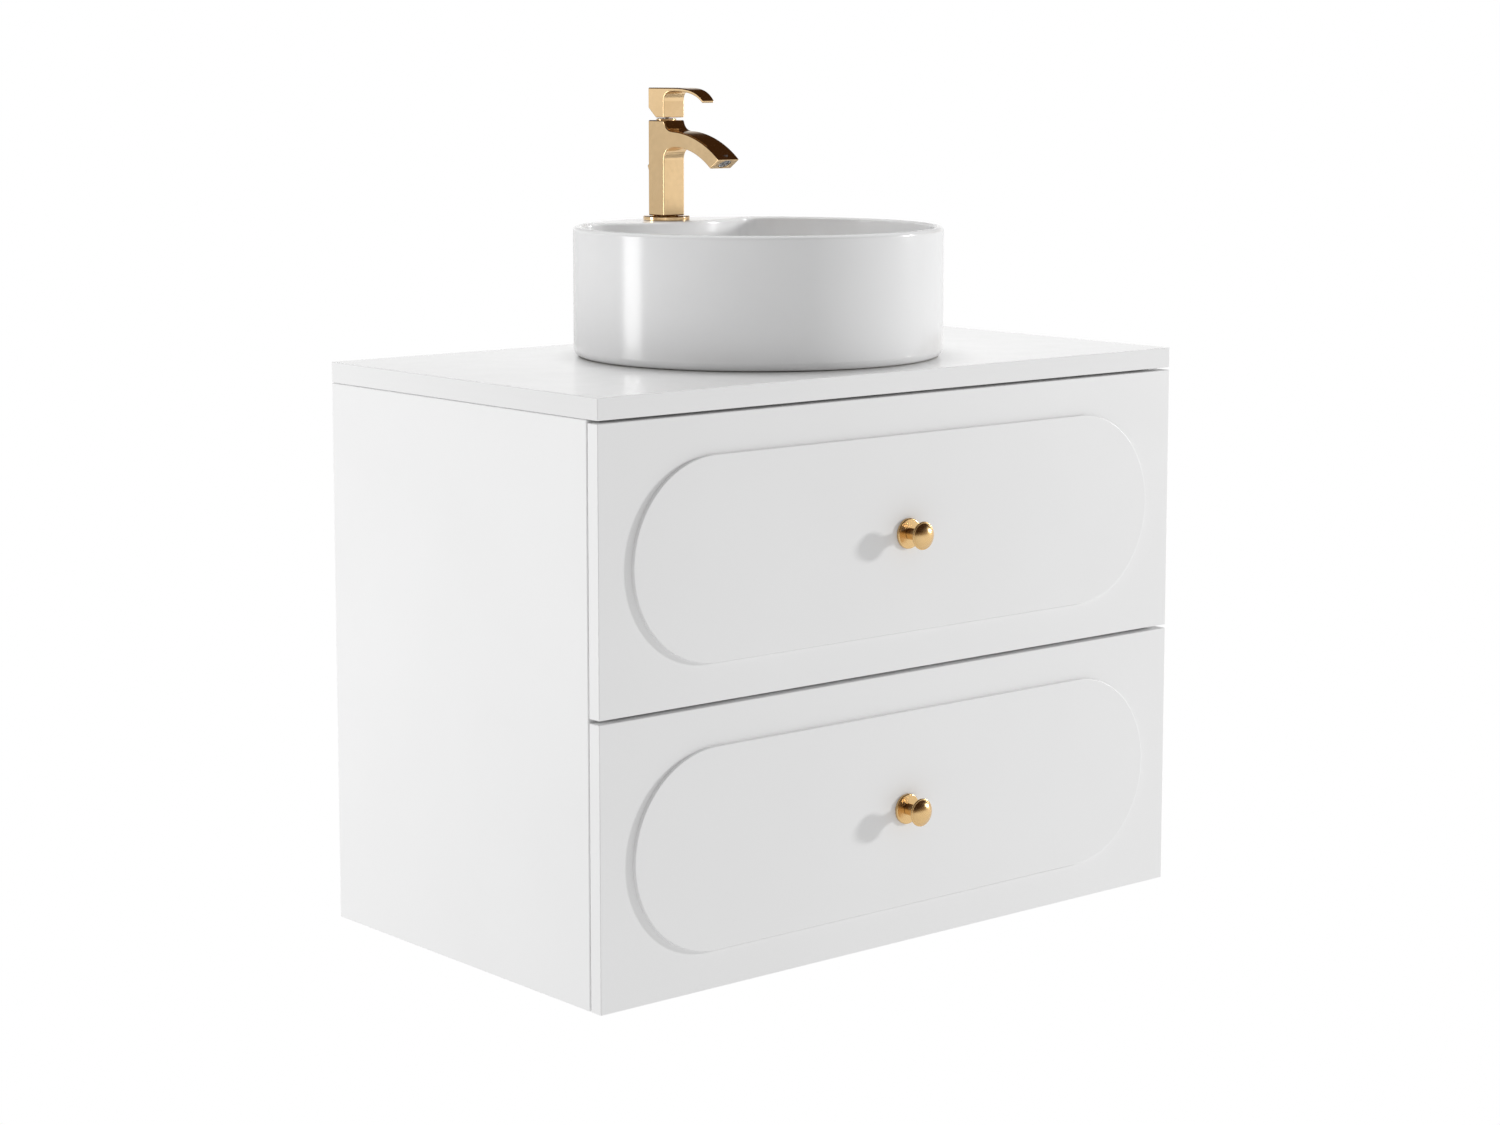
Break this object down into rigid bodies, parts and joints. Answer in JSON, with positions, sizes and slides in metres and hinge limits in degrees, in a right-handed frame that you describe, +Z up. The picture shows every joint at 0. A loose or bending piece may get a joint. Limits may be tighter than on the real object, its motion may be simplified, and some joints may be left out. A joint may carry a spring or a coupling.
{
  "type": "vessel sink on vanity",
  "caption": "Wall-hung bathroom vanity with sliding drawers, a round vessel basin and a single-lever tap with pop-up waste.",
  "frame": {"origin": "centre of the hanging rail's back face, on the wall, 530 mm above the underside of the cabinet", "axes": "+Z up, +Y into the wall, +X to the right as seen from the room"},
  "size_m": [0.8, 0.4955, 0.8893],
  "materials": {
    "white_lacquer": "satin",
    "white_board": "matte",
    "worktop_gloss": "gloss",
    "glazed_ceramic": "gloss",
    "polished_gold": "polished",
    "satin_gold": "satin",
    "zinc_steel": "satin",
    "raw_brass": "satin",
    "white_plastic": "satin"
  },
  "bodies": {
    "cabinet": {"left_side_panel": "white_lacquer", "right_side_panel": "white_lacquer", "bottom_panel": "white_board", "front_top_rail": "white_board", "hanging_rail": "white_board", "lower_back_rail": "white_board", "left_hanger": "zinc_steel", "right_hanger": "zinc_steel", "worktop": "worktop_gloss", "basin": "glazed_ceramic", "tap_base_plate": "polished_gold", "tap_body": "polished_gold", "tap_aerator": "zinc_steel", "tap_cartridge": "white_plastic", "tap_neck_ring": "polished_gold", "cold_inlet": "raw_brass", "hot_inlet": "raw_brass", "tap_stud": "zinc_steel", "tap_backing_washer": "zinc_steel", "tap_stud_nut": "zinc_steel", "waste_flange": "polished_gold", "waste_nut": "raw_brass", "waste_tailpiece": "raw_brass", "trap_cup": "white_plastic", "trap_cap": "white_plastic", "trap_outlet_pipe": "white_plastic", "wall_flange": "white_plastic", "upper_left_cabinet_rail": "zinc_steel", "upper_right_cabinet_rail": "zinc_steel", "lower_left_cabinet_rail": "zinc_steel", "lower_right_cabinet_rail": "zinc_steel"},
    "upper_drawer": {"upper_drawer_front": "white_lacquer", "upper_knob": "satin_gold", "upper_knob_rosette": "satin_gold", "upper_knob_screw": "zinc_steel", "upper_drawer_left_side": "white_board", "upper_drawer_right_side": "white_board", "upper_drawer_floor": "white_board", "upper_drawer_left_back": "white_board", "upper_drawer_right_back": "white_board", "siphon_surround": "white_plastic", "upper_left_drawer_rail": "zinc_steel", "upper_right_drawer_rail": "zinc_steel"},
    "lower_drawer": {"lower_drawer_front": "white_lacquer", "lower_knob": "satin_gold", "lower_knob_rosette": "satin_gold", "lower_knob_screw": "zinc_steel", "lower_drawer_left_side": "white_board", "lower_drawer_right_side": "white_board", "lower_drawer_floor": "white_board", "lower_drawer_back": "white_board", "lower_left_drawer_rail": "zinc_steel", "lower_right_drawer_rail": "zinc_steel"},
    "lever_swivel": {"cartridge_turntable": "white_plastic"},
    "lever": {"tap_lever": "polished_gold", "cartridge_stem": "zinc_steel"},
    "pull_rod": {"popup_pull_rod": "polished_gold", "popup_strap": "zinc_steel"},
    "ball_rod": {"popup_ball_rod": "zinc_steel"},
    "plug": {"waste_plug": "polished_gold"}
  },
  "joints": [
    {"name": "upper_drawer_slide", "type": "slide", "parent": "cabinet", "child": "upper_drawer", "axis": [0, -1, 0], "range_m": [0, 0.35]},
    {"name": "lower_drawer_slide", "type": "slide", "parent": "cabinet", "child": "lower_drawer", "axis": [0, -1, 0], "range_m": [0, 0.35]},
    {"name": "lever_turn", "type": "hinge", "parent": "cabinet", "child": "lever_swivel", "pos_m": [0, -0.0685, 0.3193], "axis": [0, 0, 1], "range_deg": [-45, 45]},
    {"name": "lever_lift", "type": "hinge", "parent": "lever_swivel", "child": "lever", "pos_m": [0, -0.0685, 0.3273], "axis": [-1, 0, 0], "range_deg": [0, 20]},
    {"name": "pull_rod_lift", "type": "slide", "parent": "cabinet", "child": "pull_rod", "axis": [0, 0, 1], "range_m": [0, 0.0406]},
    {"name": "ball_rod_tilt", "type": "hinge", "parent": "cabinet", "child": "ball_rod", "pos_m": [0, -0.203, 0.01], "axis": [1, 0, 0], "range_deg": [0, 14.6]},
    {"name": "plug_drop", "type": "slide", "parent": "cabinet", "child": "plug", "axis": [0, 0, 1], "range_m": [-0.006, 0]}
  ],
  "couplings": [
    {"joint": "ball_rod_tilt", "follows": "pull_rod_lift", "rad_per_m": 6.233},
    {"joint": "plug_drop", "follows": "pull_rod_lift", "ratio": -0.1477}
  ]
}
